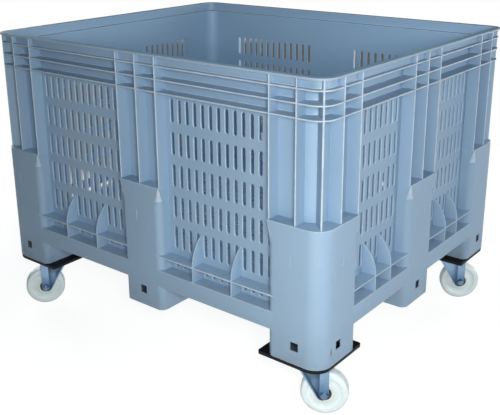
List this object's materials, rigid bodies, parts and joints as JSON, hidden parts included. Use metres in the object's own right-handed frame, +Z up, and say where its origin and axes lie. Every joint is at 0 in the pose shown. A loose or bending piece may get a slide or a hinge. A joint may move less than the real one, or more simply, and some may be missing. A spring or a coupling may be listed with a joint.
{
  "type": "wheeled pallet box",
  "caption": "Vented plastic pallet box with ribbed walls, booted corner and middle posts and a slotted floor, rolling on swivel castors under its corner feet.",
  "frame": {"origin": "on the floor, under the middle of the box", "axes": "+X along the long walls, +Y from the front wall to the rear wall, +Z up"},
  "size_m": [1.2096, 1, 0.904],
  "materials": {
    "tub_plastic": "satin moulded polyethylene",
    "black_plate": "plain black sheet",
    "zinc_steel": "bright zinc plate",
    "white_nylon": "natural white nylon",
    "ball_steel": "polished",
    "bearing_black": "moulded roller cage"
  },
  "bodies": {
    "crate": {"floor_deck": "tub_plastic", "floor_long_ribs": "tub_plastic", "floor_cross_ribs": "tub_plastic", "front_mid_post": "tub_plastic", "front_panels": "tub_plastic", "front_rails": "tub_plastic", "rear_mid_post": "tub_plastic", "rear_panels": "tub_plastic", "rear_rails": "tub_plastic", "left_mid_post": "tub_plastic", "left_panels": "tub_plastic", "left_rails": "tub_plastic", "right_mid_post": "tub_plastic", "right_panels": "tub_plastic", "right_rails": "tub_plastic", "front_right_corner_post": "tub_plastic", "front_left_corner_post": "tub_plastic", "rear_right_corner_post": "tub_plastic", "rear_left_corner_post": "tub_plastic", "castor_bolts": "zinc_steel", "front_right_adapter_plate": "black_plate", "front_right_top_plate": "zinc_steel", "front_right_king_pin": "zinc_steel", "front_left_adapter_plate": "black_plate", "front_left_top_plate": "zinc_steel", "front_left_king_pin": "zinc_steel", "rear_right_adapter_plate": "black_plate", "rear_right_top_plate": "zinc_steel", "rear_right_king_pin": "zinc_steel", "rear_left_adapter_plate": "black_plate", "rear_left_top_plate": "zinc_steel", "rear_left_king_pin": "zinc_steel"},
    "front_right_swivel": {"front_right_fork": "zinc_steel", "front_right_swivel_balls": "ball_steel", "front_right_axle_sleeve": "zinc_steel", "front_right_axle_bolt": "zinc_steel", "front_right_axle_nut": "zinc_steel"},
    "front_right_roller": {"front_right_wheel": "white_nylon", "front_right_hub_bearing": "bearing_black"},
    "front_left_swivel": {"front_left_fork": "zinc_steel", "front_left_swivel_balls": "ball_steel", "front_left_axle_sleeve": "zinc_steel", "front_left_axle_bolt": "zinc_steel", "front_left_axle_nut": "zinc_steel"},
    "front_left_roller": {"front_left_wheel": "white_nylon", "front_left_hub_bearing": "bearing_black"},
    "rear_right_swivel": {"rear_right_fork": "zinc_steel", "rear_right_swivel_balls": "ball_steel", "rear_right_axle_sleeve": "zinc_steel", "rear_right_axle_bolt": "zinc_steel", "rear_right_axle_nut": "zinc_steel"},
    "rear_right_roller": {"rear_right_wheel": "white_nylon", "rear_right_hub_bearing": "bearing_black"},
    "rear_left_swivel": {"rear_left_fork": "zinc_steel", "rear_left_swivel_balls": "ball_steel", "rear_left_axle_sleeve": "zinc_steel", "rear_left_axle_bolt": "zinc_steel", "rear_left_axle_nut": "zinc_steel"},
    "rear_left_roller": {"rear_left_wheel": "white_nylon", "rear_left_hub_bearing": "bearing_black"}
  },
  "joints": [
    {"name": "front_right_swivel_turn", "type": "hinge", "parent": "crate", "child": "front_right_swivel", "pos_m": [0.5105, -0.4105, 0.152], "axis": [0, 0, 1], "continuous": true},
    {"name": "front_right_wheel_spin", "type": "hinge", "parent": "front_right_swivel", "child": "front_right_roller", "pos_m": [0.54427, -0.391, 0.0625], "axis": [-0.5, 0.866, 0], "continuous": true},
    {"name": "front_left_swivel_turn", "type": "hinge", "parent": "crate", "child": "front_left_swivel", "pos_m": [-0.5105, -0.4105, 0.152], "axis": [0, 0, 1], "continuous": true},
    {"name": "front_left_wheel_spin", "type": "hinge", "parent": "front_left_swivel", "child": "front_left_roller", "pos_m": [-0.53451, -0.44123, 0.0625], "axis": [0.788, -0.6157, 0], "continuous": true},
    {"name": "rear_right_swivel_turn", "type": "hinge", "parent": "crate", "child": "rear_right_swivel", "pos_m": [0.5105, 0.4105, 0.152], "axis": [0, 0, 1], "continuous": true},
    {"name": "rear_right_wheel_spin", "type": "hinge", "parent": "rear_right_swivel", "child": "rear_right_roller", "pos_m": [0.54205, 0.43342, 0.0625], "axis": [-0.5878, 0.809, 0], "continuous": true},
    {"name": "rear_left_swivel_turn", "type": "hinge", "parent": "crate", "child": "rear_left_swivel", "pos_m": [-0.5105, 0.4105, 0.152], "axis": [0, 0, 1], "continuous": true},
    {"name": "rear_left_wheel_spin", "type": "hinge", "parent": "rear_left_swivel", "child": "rear_left_roller", "pos_m": [-0.54427, 0.43, 0.0625], "axis": [-0.5, -0.866, 0], "continuous": true}
  ]
}
